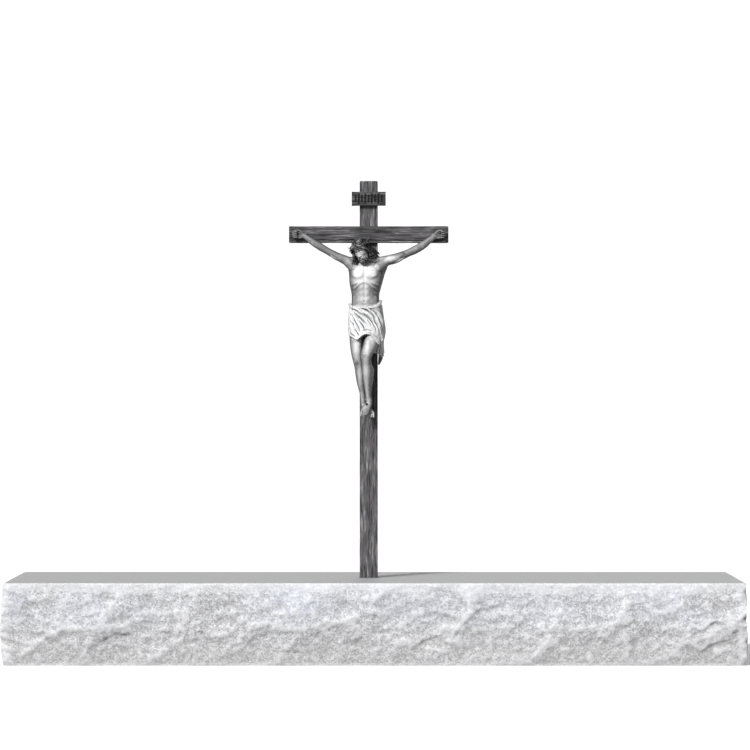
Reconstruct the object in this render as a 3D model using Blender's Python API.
"""A memorial crucifix on a rock-faced granite plinth.

A slim timber cross stands in a socket in the plinth. It carries a name board and a carved, painted figure
that hangs from three iron nails. X runs across the front, Y to the back and Z up, with the origin under the
middle of the plinth.
"""

import math

import bmesh
import bpy
import numpy as np
from mathutils import Matrix, Vector

MM = 0.001
GAP = 0.0003

# Plinth: a granite base of 54 by 14 by 6 inches, sawn above and below and pitched on its four sides
PLINTH_WIDTH = 1.366
PLINTH_DEPTH = 0.356
PLINTH_HEIGHT = 0.1524
ROCK_BULGE = 0.0105
ROCK_SCOOP_DEPTH = 0.008
ROCK_SCOOP_SPACING = 0.095
ROCK_GRID = 0.027
ROCK_ROWS = 7
ROCK_SEED = 11
SOCKET_DEPTH = 0.060

# Cross: an upright post, and a beam let into its front
CROSS_X = -0.012
CROSS_TOP = 0.907
POST_WIDTH = 0.0352
POST_DEPTH = 0.025
BEAM_LENGTH = 0.303
BEAM_HEIGHT = 0.0322
BEAM_DEPTH = 0.022
BEAM_MIDDLE = 0.8048
BEAM_PROUD = 0.007
WANE = 0.0012
TIMBER_STEP = 0.030

# Name board, with a row of plain upright cuts
BOARD_WIDTH = 0.065
BOARD_HEIGHT = 0.027
BOARD_THICKNESS = 0.006
BOARD_MIDDLE = 0.8728
STROKES = 9
STROKE_WIDTH = 0.0031
STROKE_DEPTH = 0.0012
STROKE_LENGTH = 0.0190

# Figure, in millimetres about the middle of the beam. Its hands, hips and heel reach a little past the face
# of the timber and are cut flat there, so that they lie on it.
FIGURE_LET_IN = 0.0045
FIGURE_VOXEL = 1.2
FIGURE_SOFTENING = 3
FIGURE_FACES = 6300
POST_FRONT = -POST_DEPTH / 2
BEAM_FRONT = POST_FRONT - BEAM_PROUD
FIGURE_ORIGIN = Vector((CROSS_X, POST_FRONT + FIGURE_LET_IN, BEAM_MIDDLE))

# Nails: place on the figure, radius of the head, length of the shank
NAIL_SHANK = 1.2
NAIL_HEAD_HEIGHT = 1.8
NAILS = {
    "nail_right_hand": ((-134.0, -15.2, 1.0), 3.4, 17.0),
    "nail_left_hand": ((135.5, -15.2, 2.0), 3.4, 17.0),
    "nail_feet": ((-3.8, -33.4, -322.0), 2.5, 41.0),
}


def clear_scene():
    for thing in list(bpy.data.objects):
        bpy.data.objects.remove(thing)


def finish(name, colour, roughness, metallic=0.0):
    material = bpy.data.materials.new(name)
    material.use_nodes = True
    shader = material.node_tree.nodes["Principled BSDF"]
    shader.inputs["Base Color"].default_value = (*colour, 1.0)
    shader.inputs["Roughness"].default_value = roughness
    shader.inputs["Metallic"].default_value = metallic
    return material


def object_from(shape, name, material=None):
    """A new object that holds the bmesh, which is freed."""
    mesh = bpy.data.meshes.new(name)
    bmesh.ops.recalc_face_normals(shape, faces=shape.faces)
    shape.to_mesh(mesh)
    shape.free()
    thing = bpy.data.objects.new(name, mesh)
    bpy.context.scene.collection.objects.link(thing)
    if material:
        mesh.materials.append(material)
    return thing


def helper(shape, name):
    """A cutter, which no render shows."""
    thing = object_from(shape, name)
    thing.hide_render = True
    thing.display_type = "WIRE"
    return thing


def cut(thing, cutter):
    boolean = thing.modifiers.new(cutter.name, "BOOLEAN")
    boolean.operation = "DIFFERENCE"
    boolean.solver = "EXACT"
    boolean.object = cutter


def box(low, high):
    shape = bmesh.new()
    size = Vector(high) - Vector(low)
    middle = (Vector(high) + Vector(low)) / 2
    bmesh.ops.create_cube(shape, size=1.0, matrix=Matrix.Translation(middle) @ Matrix.Diagonal((*size, 1.0)))
    return shape


def evaluated_mesh(thing):
    graph = bpy.context.evaluated_depsgraph_get()
    return bpy.data.meshes.new_from_object(thing.evaluated_get(graph))


# The plinth


def scoop_centres():
    """Where the pitching tool struck: seeded places on the face, each with its own depth."""
    random = np.random.default_rng(ROCK_SEED)
    across = int(PLINTH_WIDTH / ROCK_SCOOP_SPACING) + 3
    centres = []
    for column in range(-2, across):
        for row in range(-1, 3):
            shift = random.uniform(-0.45, 0.45, 2)
            centres.append(
                (
                    (column + shift[0] + 0.5 * (row % 2)) * ROCK_SCOOP_SPACING - PLINTH_WIDTH / 2,
                    (row + 0.5 + shift[1]) * PLINTH_HEIGHT / 2,
                    random.uniform(0.0, 0.55),
                )
            )
    return np.array(centres)


def rock_relief(along, height, centres):
    """How far the pitched face stands out of the sawn outline: a swell broken by overlapping scoops."""
    across = (centres[:, 0] - along) / ROCK_SCOOP_SPACING
    upward = (centres[:, 1] - height) / ROCK_SCOOP_SPACING
    leaning = across * 0.80 + upward * 0.60
    steep = upward * 0.80 - across * 0.60
    scoop = np.min(centres[:, 2] + 0.9 * leaning**2 + 2.4 * steep**2)
    share = height / PLINTH_HEIGHT
    middle = math.sin(math.pi * min(max(share, 0.0), 1.0)) ** 0.7
    hollow = ROCK_SCOOP_DEPTH * (min(scoop, 1.1) - 0.55) * (0.25 + 0.75 * middle)
    return ROCK_BULGE * (0.35 + 0.4 * middle) + hollow


def plinth_outline():
    """Points round the sawn rectangle, each with its outward direction and its run along the faces."""
    half_width = PLINTH_WIDTH / 2
    half_depth = PLINTH_DEPTH / 2
    sides = (
        ((-half_width, -half_depth), (1, 0), PLINTH_WIDTH),
        ((half_width, -half_depth), (0, 1), PLINTH_DEPTH),
        ((half_width, half_depth), (-1, 0), PLINTH_WIDTH),
        ((-half_width, half_depth), (0, -1), PLINTH_DEPTH),
    )
    outline = []
    for number, (start, along, length) in enumerate(sides):
        steps = round(length / ROCK_GRID)
        for step in range(steps):
            run = length * step / steps
            point = Vector((start[0] + along[0] * run, start[1] + along[1] * run, 0.0))
            outward = Vector((along[1], -along[0], 0.0))
            if step == 0:
                before = sides[number - 1][1]
                outward = outward + Vector((before[1], -before[0], 0.0))
            outline.append((point, outward, run - length / 2 + 0.31 * number))
    return outline


def build_plinth(material):
    centres = scoop_centres()
    outline = plinth_outline()
    shape = bmesh.new()
    rings = []
    for row in range(ROCK_ROWS + 1):
        height = PLINTH_HEIGHT * row / ROCK_ROWS
        ring = []
        for point, outward, run in outline:
            place = point + outward * rock_relief(run, height, centres)
            ring.append(shape.verts.new((place.x, place.y, height)))
        rings.append(ring)
    for lower, upper in zip(rings, rings[1:]):
        for i in range(len(lower)):
            j = (i + 1) % len(lower)
            shape.faces.new((lower[i], lower[j], upper[j], upper[i]))
    shape.faces.new(rings[0][::-1])
    shape.faces.new(rings[-1])
    plinth = object_from(shape, "plinth", material)
    half_width = POST_WIDTH / 2 + GAP
    half_depth = POST_DEPTH / 2 + GAP
    socket = box(
        (CROSS_X - half_width, -half_depth, PLINTH_HEIGHT - SOCKET_DEPTH),
        (CROSS_X + half_width, half_depth, PLINTH_HEIGHT + SOCKET_DEPTH),
    )
    cut(plinth, helper(socket, "socket_cutter"))
    return plinth


# The cross


def timber(length, width, depth, phase):
    """A hewn bar along Z with its foot at the origin. Its arrises wander where the axe took them off."""
    shape = bmesh.new()
    steps = round(length / TIMBER_STEP)
    rings = []
    for step in range(steps + 1):
        height = length * step / steps
        end = step in (0, steps)
        ring = []
        for corner in range(4):
            x = width / 2 * (1, 1, -1, -1)[corner]
            y = depth / 2 * (-1, 1, 1, -1)[corner]
            wave = math.sin(height * 61.0 + corner * 2.1 + phase) * math.sin(height * 23.0 + corner + phase)
            wane = WANE * (0.65 + 0.35 * wave)
            first = Vector((x - math.copysign(wane, x), y))
            second = Vector((x, y - math.copysign(wane, y)))
            pair = (first, second) if corner in (0, 2) else (second, first)
            for point in pair:
                shrink = 1.0 - 0.04 * end
                ring.append(shape.verts.new((point.x * shrink, point.y * shrink, height)))
        rings.append(ring)
    for lower, upper in zip(rings, rings[1:]):
        for i in range(len(lower)):
            j = (i + 1) % len(lower)
            shape.faces.new((lower[i], lower[j], upper[j], upper[i]))
    shape.faces.new(rings[0][::-1])
    shape.faces.new(rings[-1])
    return shape


def build_post(material):
    foot = PLINTH_HEIGHT - SOCKET_DEPTH + GAP
    post = object_from(timber(CROSS_TOP - foot, POST_WIDTH, POST_DEPTH, 0.4), "post", material)
    post.location = (CROSS_X, 0.0, foot)
    half_height = BEAM_HEIGHT / 2 + GAP
    notch = box(
        (CROSS_X - POST_WIDTH, -POST_DEPTH, BEAM_MIDDLE - half_height),
        (CROSS_X + POST_WIDTH, BEAM_FRONT + BEAM_DEPTH + GAP, BEAM_MIDDLE + half_height),
    )
    cut(post, helper(notch, "beam_notch_cutter"))
    return post


def build_beam(material):
    beam = object_from(timber(BEAM_LENGTH, BEAM_HEIGHT, BEAM_DEPTH, 2.6), "beam", material)
    beam.rotation_euler = (0.0, math.pi / 2, 0.0)
    beam.location = (CROSS_X - BEAM_LENGTH / 2, BEAM_FRONT + BEAM_DEPTH / 2, BEAM_MIDDLE)
    return beam


def build_name_board(material):
    """A thin board with a row of shallow upright cuts of two lengths."""
    back = POST_FRONT - GAP
    front = back - BOARD_THICKNESS
    half_width = BOARD_WIDTH / 2
    half_height = BOARD_HEIGHT / 2
    shape = box(
        (CROSS_X - half_width, front, BOARD_MIDDLE - half_height),
        (CROSS_X + half_width, back, BOARD_MIDDLE + half_height),
    )
    board = object_from(shape, "name_board", material)
    bevel = board.modifiers.new("worn arrises", "BEVEL")
    bevel.width = 0.0007
    bevel.segments = 1
    pitch = BOARD_WIDTH * 0.86 / STROKES
    for number in range(STROKES):
        middle = CROSS_X + (number - (STROKES - 1) / 2) * pitch
        reach = STROKE_LENGTH / 2 * (1.0 if number % 2 else 0.74)
        stroke = box(
            (middle - STROKE_WIDTH / 2, front - STROKE_DEPTH, BOARD_MIDDLE - reach),
            (middle + STROKE_WIDTH / 2, front + STROKE_DEPTH, BOARD_MIDDLE + reach),
        )
        cut(board, helper(stroke, f"stroke_cutter_{number + 1}"))
    return board


# Shapes that the figure is built up from, in millimetres


def spline(stations, steps):
    """Rows on a smooth curve through the stations, so many to each span."""
    rows = np.array(stations, float)
    ends = np.vstack([2 * rows[0] - rows[1], rows, 2 * rows[-1] - rows[-2]])
    curve = []
    for a, b, c, d in zip(ends, ends[1:], ends[2:], ends[3:]):
        for step in range(steps):
            t = step / steps
            curve.append(
                0.5 * (2 * b + (c - a) * t + (2 * a - 5 * b + 4 * c - d) * t**2 + (3 * b - a - 3 * c + d) * t**3)
            )
    return np.array(curve + [rows[-1]])


def add_limb(shape, stations, sides=14, steps=4, fore=(0.0, -1.0, 0.0)):
    """A round-ended limb through stations of x, y, z, half its breadth and half its depth."""
    rows = spline([s if len(s) == 5 else (*s, s[3]) for s in stations], steps)
    along = np.gradient(rows[:, :3], axis=0)
    along /= np.linalg.norm(along, axis=1)[:, None]
    rings = []
    for place, way, wide, deep in zip(rows[:, :3], along, rows[:, 3], rows[:, 4]):
        front = np.array(fore) - way * np.dot(fore, way)
        front /= np.linalg.norm(front)
        rings.append((place, way, np.cross(way, front) * wide, front * deep, min(wide, deep)))
    caps = ((0.5, 0.87), (0.87, 0.5))
    first, last = rings[0], rings[-1]
    start = [(first[0] - first[1] * first[4] * k, *first[1:2], first[2] * s, first[3] * s, 0) for k, s in caps[::-1]]
    end = [(last[0] + last[1] * last[4] * k, *last[1:2], last[2] * s, last[3] * s, 0) for k, s in caps]
    loops = []
    for place, _, side, front, _ in start + rings + end:
        turns = (2 * math.pi * i / sides for i in range(sides))
        loops.append([shape.verts.new(place + math.cos(t) * side + math.sin(t) * front) for t in turns])
    for lower, upper in zip(loops, loops[1:]):
        for i in range(sides):
            j = (i + 1) % sides
            shape.faces.new((lower[i], lower[j], upper[j], upper[i]))
    shape.faces.new(loops[0][::-1])
    shape.faces.new(loops[-1])


def add_tube(shape, levels, top, bottom, offset, sides, rows):
    """A tube round the body. Levels give x, y, z and half sizes; top and bottom give heights by angle."""
    levels = spline(levels, 8)[::-1]
    loops = []
    for row in range(rows + 1):
        share = row / rows
        loop = []
        for side in range(sides):
            angle = 360.0 * side / sides - 180.0
            z = top(angle) + (bottom(angle) - top(angle)) * share
            x, y, wide, deep = (np.interp(z, levels[:, 2], levels[:, column]) for column in (0, 1, 3, 4))
            across, ahead = math.sin(math.radians(angle)), math.cos(math.radians(angle))
            lift = offset(x + across * wide, z, angle, share)
            loop.append(shape.verts.new((x + across * (wide + lift), y - ahead * (deep + lift), z)))
        loops.append(loop)
    for lower, upper in zip(loops, loops[1:]):
        for i in range(sides):
            j = (i + 1) % sides
            shape.faces.new((lower[i], lower[j], upper[j], upper[i]))
    for loop in (loops[0], loops[-1]):
        hub = shape.verts.new(sum((v.co for v in loop), Vector()) / sides)
        for i in range(sides):
            shape.faces.new((loop[i], loop[(i + 1) % sides], hub))


def ease(value):
    """A smooth step from 0 to 1."""
    value = min(max(value, 0.0), 1.0)
    return value * value * (3.0 - 2.0 * value)


def swell(angle, middle, spread):
    """A smooth bump of height 1 about an angle, all in degrees."""
    away = (angle - middle + 180.0) % 360.0 - 180.0
    return math.exp(-((away / spread) ** 2))


def dome(x, z, place, spread):
    """A smooth bump of height 1 on the front of the body."""
    return math.exp(-(((x - place[0]) / spread[0]) ** 2) - ((z - place[1]) / spread[1]) ** 2)


def add_mound(shape, place, radii, turn=(0.0, 0.0, 0.0), frame=Matrix.Identity(4)):
    """An ellipsoid. Its turn is in degrees about X, Y and Z."""
    matrix = frame @ Matrix.Translation(place)
    for angle, axis in zip(turn, "XYZ"):
        matrix = matrix @ Matrix.Rotation(math.radians(angle), 4, axis)
    matrix = matrix @ Matrix.Diagonal((*radii, 1.0))
    bmesh.ops.create_icosphere(shape, subdivisions=3, radius=1.0, matrix=matrix)


def in_frame(frame, stations):
    """Stations of a part that is laid out in its own frame, such as the head."""
    scale = frame.median_scale
    return [(*(frame @ Vector(s[:3])), *(radius * scale for radius in s[3:])) for s in stations]


# The figure: trunk and limbs

TRUNK = (
    (-7, -24, -50, 17, 11),
    (-6, -25, -58, 27, 15),
    (-5.5, -26, -68, 31, 19),
    (-5.5, -27, -82, 31.5, 21),
    (-6, -27, -96, 30, 20),
    (-6, -25, -110, 27, 17.5),
    (-6, -23.5, -121, 26, 16),
    (-5.5, -24, -136, 29, 18),
    (-4.5, -25, -158, 33, 21),
    (-4.5, -28, -178, 30, 20),
)
NECK = ((-7, -22, -62, 14, 11), (-10, -28, -51, 10.5, 10.5), (-13, -37, -40, 9.5, 9.5))
MIDLINE = -8.3
SHOULDER_EDGES = (
    ((-35, -19, -55, 6, 8), (-31, -20, -74, 5.5, 9), (-31, -21, -94, 4.5, 10), (-27, -21, -116, 4, 8)),
    ((32, -19, -56, 6, 8), (24.5, -20, -74, 5.5, 9), (21, -21, -92, 4.5, 10), (16, -21, -114, 4, 8)),
    ((-45, -28, -50, 7, 6), (-33, -31, -59, 9, 7), (-18, -29, -72, 9, 7)),
    ((38, -28, -50, 7, 6), (25, -31, -59, 9, 7), (3, -29, -72, 9, 7)),
    ((-44, -24, -50, 8, 8), (-30, -25, -50, 7.5, 9), (-12, -26, -48, 8, 9)),
    ((36, -24, -48, 8, 8), (18, -25, -50, 7.5, 9), (-2, -26, -48, 8, 9)),
)
RIGHT_ARM = (
    (-28, -26, -58, 9, 11),
    (-42, -26, -50.3, 8.9, 10),
    (-56, -24, -43.6, 7.6, 9),
    (-70, -21, -36.4, 6.9, 7.6),
    (-80.5, -19.5, -30.4, 6.6, 7),
    (-91, -18.5, -24.2, 7, 7.2),
    (-105, -17, -15.6, 6.4, 6),
    (-117, -15.5, -6.8, 5.1, 4.5),
    (-125, -14.5, -2, 5.2, 3.9),
)
LEFT_ARM = (
    (23, -26, -55, 10, 11),
    (38, -26, -49.5, 9.4, 10),
    (52, -24, -45, 8.7, 9.2),
    (66, -21, -39.4, 7.7, 7.8),
    (75.5, -19.5, -35.2, 7.1, 7.2),
    (87, -18.5, -30, 7.6, 7.6),
    (103, -17, -20.6, 7.4, 6.4),
    (117, -15.5, -9.8, 5.8, 4.7),
    (126, -14.5, -3, 5.5, 3.9),
)
ARM_MUSCLES = (
    ((-58, -27.5, -42.5), (13, 5, 5), (0, 29, 0)),
    ((-60, -20, -43), (15, 6, 5), (0, 29, 0)),
    ((-92, -19, -23.5), (12, 6, 5.5), (0, 31, 0)),
    ((54, -27.5, -44), (13, 5.5, 5.5), (0, -24, 0)),
    ((56, -20, -45), (15, 6, 5.5), (0, -24, 0)),
    ((92, -19, -27), (12, 6, 6), (0, -32, 0)),
)
LEFT_LEG = (
    (13, -27, -160, 17, 17),
    (11, -36, -180, 16, 17.5),
    (5.5, -46, -200, 14.6, 15.5),
    (0, -54.5, -217, 12.4, 13),
    (-5, -58.5, -231, 10.8, 11.2),
    (-4.5, -54, -244, 9.6, 11.5),
    (-2.5, -46.5, -259, 11.2, 12.5),
    (-1.5, -39.5, -273, 10.4, 11),
    (-1.2, -31, -291, 7.2, 8),
    (-0.6, -25, -306, 5.6, 6.6),
    (0.4, -22.5, -315, 6.2, 7.2),
    (0.6, -22.5, -321, 5.6, 6.6),
)
RIGHT_LEG = (
    (-20, -27, -160, 17, 17),
    (-21.5, -33, -182, 15, 16.5),
    (-23, -41, -203, 13, 14.5),
    (-22.7, -48, -222, 11, 12.3),
    (-20.5, -50.5, -239, 9.5, 10.8),
    (-18, -46, -251, 8.9, 10.8),
    (-16, -39, -266, 9, 11.5),
    (-14.5, -32.5, -281, 8, 9.6),
    (-12, -24, -299, 5.8, 6.8),
    (-10.8, -19, -313, 5.4, 6.8),
    (-10.2, -16.5, -321, 5.0, 6.4),
)
UPPER_FOOT = (
    (1.2, -16, -320, 5.2, 5.4),
    (-0.5, -25, -322, 6.4, 7),
    (-3.5, -29.5, -329, 7.4, 5),
    (-7.5, -32.5, -336.5, 8.6, 3.6),
)
LOWER_FOOT = (
    (-11.2, -9.5, -320, 4.8, 6.4),
    (-9.6, -17, -322, 5.8, 6.4),
    (-4, -21, -331, 7, 4.6),
    (2.5, -24, -339, 8, 3.4),
)
LEG_MUSCLES = (
    ((-6, -65, -230), (6.5, 4.5, 7.5), (10, 0, 0)),
    ((-21, -56.5, -239), (5.8, 4.5, 7), (10, 0, 0)),
    ((12, -45, -196), (6, 9, 16), (-20, 12, 0)),
    ((-7, -43, -262), (5.5, 8, 14), (22, 0, 0)),
    ((4, -43, -261), (6, 8, 15), (22, 0, 0)),
    ((6, -20, -318), (3, 4, 4), (0, 0, 0)),
    ((-5, -22, -314), (3, 4, 4), (0, 0, 0)),
    ((-14.5, -19, -315), (3, 4, 4), (0, 0, 0)),
)


def trunk_relief(x, z, angle, share):
    """Chest muscles over the arch of the ribs, the sunken belly, and the flanks, in front only."""
    away = abs(x - MIDLINE)
    front = ease(1.6 - abs(angle) / 62.0)
    edge = -88.0 + 0.035 * (away - 13.0) ** 2
    chest = 2.6 * ease((z - edge) / 7.0) * ease((-54.0 - z) / 22.0)
    chest *= ease((away + 1.0) / 8.0) * ease((31.0 - away) / 13.0)
    arch = -91.0 - 0.085 * away**2
    belly = ease((arch - z) / 8.0)
    sunk = -2.6 * belly * (1.0 - 0.8 * ease((-112.0 - z) / 18.0)) * ease((26.0 - away) / 9.0)
    rib_zone = ease((away - 10.0) / 6.0) * ease((-86.0 - z) / 7.0) * ease((z - arch + 2.0) / 7.0)
    ribs = 0.55 * math.sin((z + 0.45 * away) * 0.72) * rib_zone
    muscle = belly * dome(away, 0.0, (5.2, 0.0), (3.6, 1.0)) * (0.75 - 0.25 * math.cos((z + 96.0) * 0.56))
    flank = 1.8 * dome(away, z, (20.0, -127.0), (6.0, 9.0))
    navel = dome(x, z, (MIDLINE, -131.0), (10.0, 9.0)) - 2.0 * dome(x, z, (MIDLINE, -128.0), (1.5, 2.2))
    nipple = 0.7 * dome(away, z, (17.0, -80.0), (1.3, 1.3))
    return front * (chest + sunk + ribs + muscle + flank + navel + nipple)


def add_trunk(shape):
    add_tube(shape, TRUNK, lambda angle: -50.5, lambda angle: -177.5, trunk_relief, 90, 120)
    add_limb(shape, NECK)
    for stations in SHOULDER_EDGES:
        add_limb(shape, stations)


def add_limbs(shape):
    for stations in (RIGHT_ARM, LEFT_ARM, LEFT_LEG, RIGHT_LEG):
        add_limb(shape, stations)
    for place, radii, turn in ARM_MUSCLES + LEG_MUSCLES:
        add_mound(shape, place, radii, turn)


def add_hand(shape, side, wrist, rise):
    """An open hand with half-curled fingers, its back on the beam. Side is -1 to the left of the picture."""

    def station(out, up, fore, breadth, depth=None):
        return (
            wrist[0] + side * (out * math.cos(rise) - up * math.sin(rise) * 0.3),
            wrist[1] - fore,
            wrist[2] + up + out * math.sin(rise),
            breadth,
            depth or breadth,
        )

    palm = [station(-3, 0, 0, 5, 3.6), station(5, 0.2, -0.5, 6.2, 3.4), station(13, 0.3, -0.5, 7, 3)]
    add_limb(shape, palm)
    for number in range(4):
        up = 5.6 - 3.7 * number
        reach = (5.6, 6.6, 6.2, 4.6)[number]
        add_limb(
            shape,
            [
                station(13, up, 0, 1.9),
                station(15 + reach * 0.6, up * 1.02, 1, 1.75),
                station(15 + reach, up, 4, 1.65),
                station(13 + reach * 0.7, up * 0.98, 7, 1.5),
                station(10.5 + reach * 0.5, up * 0.96, 7.6, 1.4),
            ],
            sides=8,
        )
    thumb = [station(2, 4, 0.5, 2.8), station(7, 7.6, 3, 2.4)]
    thumb += [station(11.5, 8.4, 4.5, 2), station(15.5, 7.6, 5.5, 1.7)]
    add_limb(shape, thumb, sides=8)


def add_foot(shape, stations, toe_line, toe_way):
    """A foot that points down, with five toes set along a line from the big toe to the little one."""
    add_limb(shape, stations)
    big, little = Vector(toe_line[0]), Vector(toe_line[1])
    way = Vector(toe_way)
    for number in range(5):
        share = number / 4
        root = big.lerp(little, share)
        size = 2.6 - 1.3 * share**0.6
        tip = root + way * (7.5 - 3.5 * share)
        middle = root.lerp(tip, 0.5) + Vector((0, -1.0, 0.4))
        add_limb(shape, [(*root, size), (*middle, size * 0.92), (*tip, size * 0.8)], sides=8, steps=2)


def add_feet(shape):
    add_foot(
        shape,
        UPPER_FOOT,
        ((-14.4, -34.5, -337.5), (-1.2, -33.2, -339)),
        (-0.12, -0.32, -0.94),
    )
    add_foot(
        shape,
        LOWER_FOOT,
        ((9.4, -25.5, -340.5), (-3.5, -25, -343)),
        (0.1, -0.3, -0.95),
    )


# The loincloth

CLOTH_LEVELS = (
    (-6.4, -24.0, -122.0, 29.6, 19.0),
    (-6.2, -24.5, -138.0, 30.6, 20.5),
    (-5.6, -27.0, -157.0, 31.9, 23.0),
    (-5.0, -31.0, -176.0, 33.2, 26.0),
    (-5.0, -36.0, -195.0, 32.8, 28.5),
    (-5.2, -40.0, -214.0, 32.0, 29.5),
)
FOLD_HEIGHT = 3.3


def cloth_top(angle):
    return -138.5 + 5.5 * swell(angle, -95, 45) + 13.0 * swell(angle, 95, 48) + 8.0 * swell(angle, 180, 60)


def cloth_hem(angle):
    dip = -7.0 * swell(angle, -32, 16) + 4.0 * swell(angle, 2, 22) - 17.0 * swell(angle, 52, 20)
    return -193.5 + dip + 6.0 * swell(angle, 180, 60)


def fan(run, height, centre_run, centre_height, count, phase):
    """Folds that spread from a point of gathering: round crests with narrow valleys between them."""
    angle = math.atan2(centre_height - height, max(run - centre_run, 0.1))
    far = math.hypot(run - centre_run, height - centre_height)
    return abs(math.sin(count * angle + phase + 0.8 * math.sin(far * 0.07))) ** 0.6 * ease(far / 26.0)


def cloth_relief(x, z, angle, share):
    """How far the cloth stands off its plain tube: folds, a rolled hem and a lap on the hip."""
    run = -5.0 + 33.0 * math.radians(angle)
    hip = ease((run - 6.0 + 0.45 * (z + 140.0)) / 7.0 + 0.5)
    sweep = fan(run, z, -50.0, -124.0, 10.5, 0.5)
    lap = fan(run, z, -6.0, -118.0, 9.0, 1.1)
    quiet = 1.0 - 0.8 * swell(angle, 180, 55)
    edge = 1.2 * math.exp(-(((share - 0.97) / 0.04) ** 2)) + 1.5 * math.exp(-(((share - 0.04) / 0.06) ** 2))
    return FOLD_HEIGHT * quiet * (sweep + (lap - sweep) * hip - 0.6 + 0.35 * hip) + edge


def add_cloth(shape):
    add_tube(shape, CLOTH_LEVELS, cloth_top, cloth_hem, cloth_relief, 132, 48)


CLOTH_TAILS = (
    (
        (22, -22, -136, 4, 7),
        (25, -22, -158, 4, 9),
        (28, -23, -183, 4.5, 9),
        (24, -24, -204, 5, 6),
        (26, -24, -224, 4, 5),
    ),
    ((24, -32, -190, 5, 4), (20.5, -30, -206, 4, 3.5), (19, -28, -220, 6, 3), (20, -27, -229, 8, 2.8)),
    ((24, -14, -188, 5, 4), (21.5, -13, -212, 5, 3), (21, -12, -232, 6, 3), (17.5, -11, -246, 2.5, 2.2)),
    ((-36, -24, -134, 3, 8), (-36, -26, -150, 2.5, 9), (-36, -29, -172, 3, 10), (-37, -31, -187, 3.5, 10)),
)

# The head, laid out upright and then bowed, turned and tilted

HEAD_PLACE = (-14.2, -40.0, -30.0)
HEAD_SCALE = 1.08
HEAD_BOW, HEAD_TILT, HEAD_TURN = 13.0, -19.0, -33.0
SKULL = (
    ((0, 2, 5), (14, 15.5, 14.5), (0, 0, 0)),
    ((0, -3, -8.5), (10.6, 10.8, 13), (0, 0, 0)),
    ((0, -9.5, 7), (10.5, 6, 6.8), (0, 0, 0)),
    ((0, -9.5, -17.6), (5.2, 5, 4.2), (0, 0, 0)),
    ((0, -9.2, -12), (6, 5.8, 5), (0, 0, 0)),
    ((-7, -9.6, -5), (3.8, 4, 3.4), (0, 0, 0)),
    ((7, -9.6, -5), (3.8, 4, 3.4), (0, 0, 0)),
    ((-5, -12.8, 2.9), (4.8, 2.6, 1.7), (0, 8, 0)),
    ((5, -12.8, 2.9), (4.8, 2.6, 1.7), (0, -8, 0)),
    ((-5, -10.9, -1.3), (3, 2.7, 1.9), (0, 0, 0)),
    ((5, -10.9, -1.3), (3, 2.7, 1.9), (0, 0, 0)),
    ((0, -14.2, -11.5), (3.8, 1.8, 1), (0, 0, 0)),
    ((0, -14.2, -13.4), (3.2, 1.8, 1.1), (0, 0, 0)),
    ((0, 3.6, 7), (15.2, 17, 14.6), (0, 0, 0)),
)
NOSE = ((0, -13, 3, 1.6), (0, -15.2, -1.5, 1.8), (0, -16.9, -6, 2.2))
CAP_LOCKS = 9
FALL_LOCKS = 8


def head_frame():
    return (
        Matrix.Translation(HEAD_PLACE)
        @ Matrix.Rotation(math.radians(HEAD_TILT), 4, "Y")
        @ Matrix.Rotation(math.radians(HEAD_TURN), 4, "Z")
        @ Matrix.Rotation(math.radians(HEAD_BOW), 4, "X")
        @ Matrix.Scale(HEAD_SCALE, 4)
    )


def add_head(shape, frame):
    for place, radii, turn in SKULL:
        add_mound(shape, place, radii, turn, frame)
    add_limb(shape, in_frame(frame, NOSE), sides=8)


def between(first, last, share):
    return tuple(a + (b - a) * share for a, b in zip(first, last))


def add_hair(shape, frame):
    """Hair combed down from a middle parting, then two falls of waving locks in front of the shoulders."""
    for side in (-1, 1):
        for number in range(CAP_LOCKS):
            share = number / (CAP_LOCKS - 1)
            crest = math.sin(math.pi * share)
            wave = 1.1 * math.sin(number * 2.7 + side)
            cap = [
                (side * 0.8, -11.5 + 25.0 * share, 16.2 + 4.2 * crest, 1.8),
                (side * 8.5, -13.2 + 28.0 * share + wave, 13.0 + 3.5 * crest, 2.3),
                (side * (14.4 - 4.5 * share**3), -9.0 + 25.0 * share - wave, 4.5 - 1.0 * share, 2.5),
                (side * (15.0 - 6.0 * share**3), -4.0 + 20.0 * share + wave, -5.0 - 3.0 * share, 2.4),
                (side * (13.4 - 7.0 * share**3), -1.0 + 17.0 * share - wave, -14.0 - 4.0 * share, 1.6),
            ]
            add_limb(shape, in_frame(frame, cap), sides=8, steps=3)
    falls = (
        ((-28, -40, -30), (-18, -33, -42), (-29, -40, -63), (-18, -35, -62), 1.6),
        ((2, -42, -34), (4, -24, -24), (8, -36, -46), (22, -26, -43), 2.2),
    )
    for first, last, tip_first, tip_last, sway in falls:
        for number in range(FALL_LOCKS):
            share = number / (FALL_LOCKS - 1)
            start = between(first, last, share)
            tip = between(tip_first, tip_last, share)
            droop = 4.0 * math.sin(number * 2.2)
            wave = sway * math.cos(number * 1.9)
            lock = [
                (*start, 3.0),
                (*between(start, tip, 0.35), 3.1),
                (*between(start, tip, 0.7), 2.6),
                (tip[0], tip[1], tip[2] + droop, 1.2),
            ]
            lock[1] = (lock[1][0] + wave, lock[1][1] - 1.5, *lock[1][2:])
            lock[2] = (lock[2][0] - wave, *lock[2][1:])
            add_limb(shape, lock, sides=8, steps=3)


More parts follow.
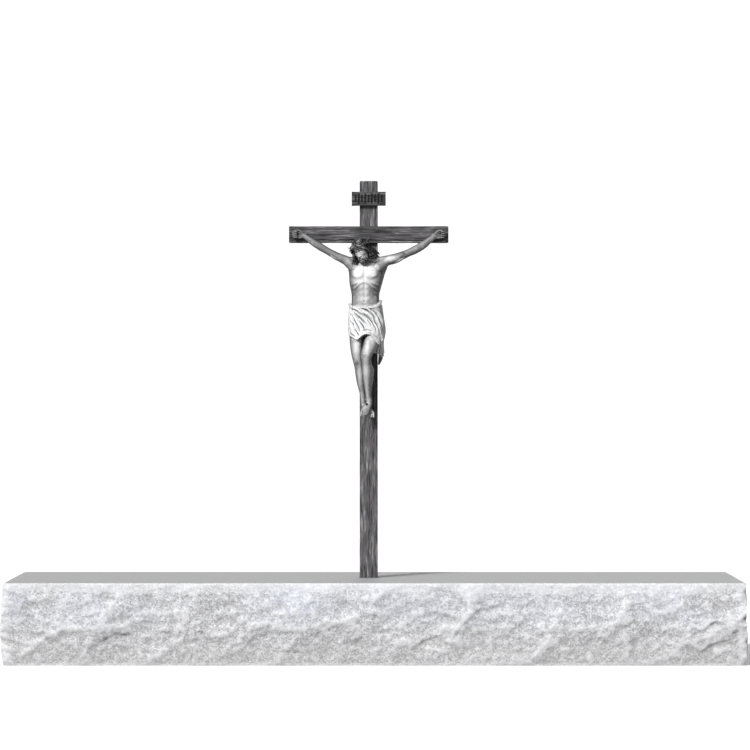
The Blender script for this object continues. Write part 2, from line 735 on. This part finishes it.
def add_beard(shape, frame):
    for number in range(9):
        turn = math.radians(-80 + 20 * number)
        x, y = 9.6 * math.sin(turn), -2.5 - 10.5 * math.cos(turn)
        drop = 5.0 + 3.0 * math.cos(turn)
        lock = [
            (x * 1.02, y + 0.6, -9.0 - 3.0 * math.cos(turn), 2.2),
            (x, y - 1.2, -15.0 - 1.5 * math.cos(turn), 2.5),
            (x * 0.55 + 1.2 * math.copysign(1, x or 1), y - 0.4, -16.0 - drop, 1.6),
        ]
        add_limb(shape, in_frame(frame, lock), sides=8, steps=3)
    for side in (-1, 1):
        lip = [(side * 0.6, -16.4, -9.4, 1.2), (side * 3.6, -15.6, -10.4, 1.4), (side * 6.4, -13.2, -14.5, 1.2)]
        add_limb(shape, in_frame(frame, lip), sides=8, steps=3)


def add_crown(shape, frame):
    """Two thorn stems twisted round the brow, with thorns that point out and up."""
    turns = 36
    for stem in range(2):
        ring = []
        for step in range(turns + 1):
            turn = 2 * math.pi * step / turns
            twist = 5 * turn + stem * math.pi
            reach = 1.0 + 0.06 * math.cos(twist)
            height = 9.0 - 2.0 * math.cos(turn) + 1.7 * math.sin(twist)
            ring.append((16.8 * reach * math.sin(turn), 1.8 - 19.0 * reach * math.cos(turn), height, 1.7))
        add_limb(shape, in_frame(frame, ring), sides=8, steps=1)
    for number in range(14):
        turn = 2 * math.pi * (number + 0.4) / 14
        root = Vector((17.2 * math.sin(turn), 1.8 - 19.4 * math.cos(turn), 9.0 - 2.0 * math.cos(turn)))
        out = Vector((math.sin(turn + 0.5), -math.cos(turn + 0.5), (-1) ** number * 0.7))
        thorn = [(*root, 1.1), (*(root + out * 2.6), 0.9), (*(root + out * 5.2), 0.5)]
        add_limb(shape, in_frame(frame, thorn), sides=6, steps=1)


def keep_largest_shell(mesh):
    """Leaves out crumbs, and the skins of air pockets that the parts closed in between them."""
    shape = bmesh.new()
    shape.from_mesh(mesh)
    left = set(shape.verts)
    shells = []
    while left:
        shell = {left.pop()}
        front = list(shell)
        while front:
            near = {edge.other_vert(vert) for vert in front for edge in vert.link_edges} - shell
            shell |= near
            front = list(near)
        left -= shell
        shells.append(shell)
    shells.sort(key=len)
    bmesh.ops.delete(shape, geom=[vert for shell in shells[:-1] for vert in shell], context="VERTS")
    shape.to_mesh(mesh)
    shape.free()


def build_figure(material):
    """The figure, fused from its parts, softened like carved wood and cut flat where it lies on the cross."""
    shape = bmesh.new()
    frame = head_frame()
    add_trunk(shape)
    add_limbs(shape)
    add_hand(shape, -1, (-123.5, -14.0, -2.0), 0.12)
    add_hand(shape, 1, (124.5, -14.0, -2.5), 0.12)
    add_feet(shape)
    add_cloth(shape)
    for stations in CLOTH_TAILS:
        add_limb(shape, stations)
    add_head(shape, frame)
    add_hair(shape, frame)
    add_beard(shape, frame)
    add_crown(shape, frame)
    rough = object_from(shape, "figure_blocks")
    remesh = rough.modifiers.new("fuse", "REMESH")
    remesh.mode = "VOXEL"
    remesh.voxel_size = FIGURE_VOXEL
    soften = rough.modifiers.new("soften", "SMOOTH")
    soften.factor = 0.5
    soften.iterations = FIGURE_SOFTENING
    dense = evaluated_mesh(rough)
    faces = 2 * len(dense.polygons)
    bpy.data.meshes.remove(dense)
    thin = rough.modifiers.new("thin", "DECIMATE")
    thin.ratio = FIGURE_FACES / faces
    thin.use_collapse_triangulate = True
    mesh = evaluated_mesh(rough)
    bpy.data.objects.remove(rough)
    keep_largest_shell(mesh)
    mesh.transform(Matrix.Translation(FIGURE_ORIGIN) @ Matrix.Scale(MM, 4))
    mesh.materials.append(material)
    figure = bpy.data.objects.new("figure", mesh)
    bpy.context.scene.collection.objects.link(figure)
    post_space = box(
        (CROSS_X - POST_WIDTH, POST_FRONT - GAP, PLINTH_HEIGHT),
        (CROSS_X + POST_WIDTH, POST_DEPTH, CROSS_TOP),
    )
    beam_space = box(
        (CROSS_X - BEAM_LENGTH, BEAM_FRONT - GAP, BEAM_MIDDLE - BEAM_HEIGHT / 2 - GAP),
        (CROSS_X + BEAM_LENGTH, BEAM_DEPTH, BEAM_MIDDLE + BEAM_HEIGHT),
    )
    cut(figure, helper(post_space, "post_space_cutter"))
    cut(figure, helper(beam_space, "beam_space_cutter"))
    return figure


# The nails


def nail_shape(place, head, length, play):
    """A nail along Y, with its head in front. Play makes it larger all over, for the hole it goes in."""
    shape = bmesh.new()
    x, y, z = place
    front = y - NAIL_HEAD_HEIGHT - play
    profile = (
        (front, head * 0.62 + play),
        (y - NAIL_HEAD_HEIGHT * 0.45 - play, head + play),
        (y + play, head + play),
        (y + play, NAIL_SHANK + play),
        (y + length * 0.7, NAIL_SHANK + play),
        (y + length + play, NAIL_SHANK * 0.5 + play),
    )
    loops = []
    for depth, radius in profile:
        turns = (2 * math.pi * i / 10 for i in range(10))
        ring = [(x + radius * math.cos(turn), depth, z + radius * math.sin(turn)) for turn in turns]
        loops.append([shape.verts.new(point) for point in ring])
    for lower, upper in zip(loops, loops[1:]):
        for i in range(10):
            j = (i + 1) % 10
            shape.faces.new((lower[i], lower[j], upper[j], upper[i]))
    shape.faces.new(loops[0][::-1])
    shape.faces.new(loops[-1])
    place_on_cross = Matrix.Translation(FIGURE_ORIGIN) @ Matrix.Scale(MM, 4)
    bmesh.ops.transform(shape, matrix=place_on_cross, verts=shape.verts)
    return shape


def build_nails(material, figure, beam, post):
    for name, (place, head, length) in NAILS.items():
        object_from(nail_shape(place, head, length, 0.0), name, material)
        hole = helper(nail_shape(place, head, length, GAP / MM), f"{name}_hole_cutter")
        cut(figure, hole)
        cut(post if name == "nail_feet" else beam, hole)


def main():
    clear_scene()
    granite = finish("granite", (0.62, 0.62, 0.64), 0.85)
    timber_grey = finish("weathered timber", (0.10, 0.098, 0.10), 0.8)
    painted = finish("painted carving", (0.48, 0.47, 0.48), 0.55)
    iron = finish("black iron", (0.02, 0.02, 0.02), 0.5, 0.6)
    build_plinth(granite)
    post = build_post(timber_grey)
    beam = build_beam(timber_grey)
    build_name_board(timber_grey)
    figure = build_figure(painted)
    build_nails(iron, figure, beam, post)


main()
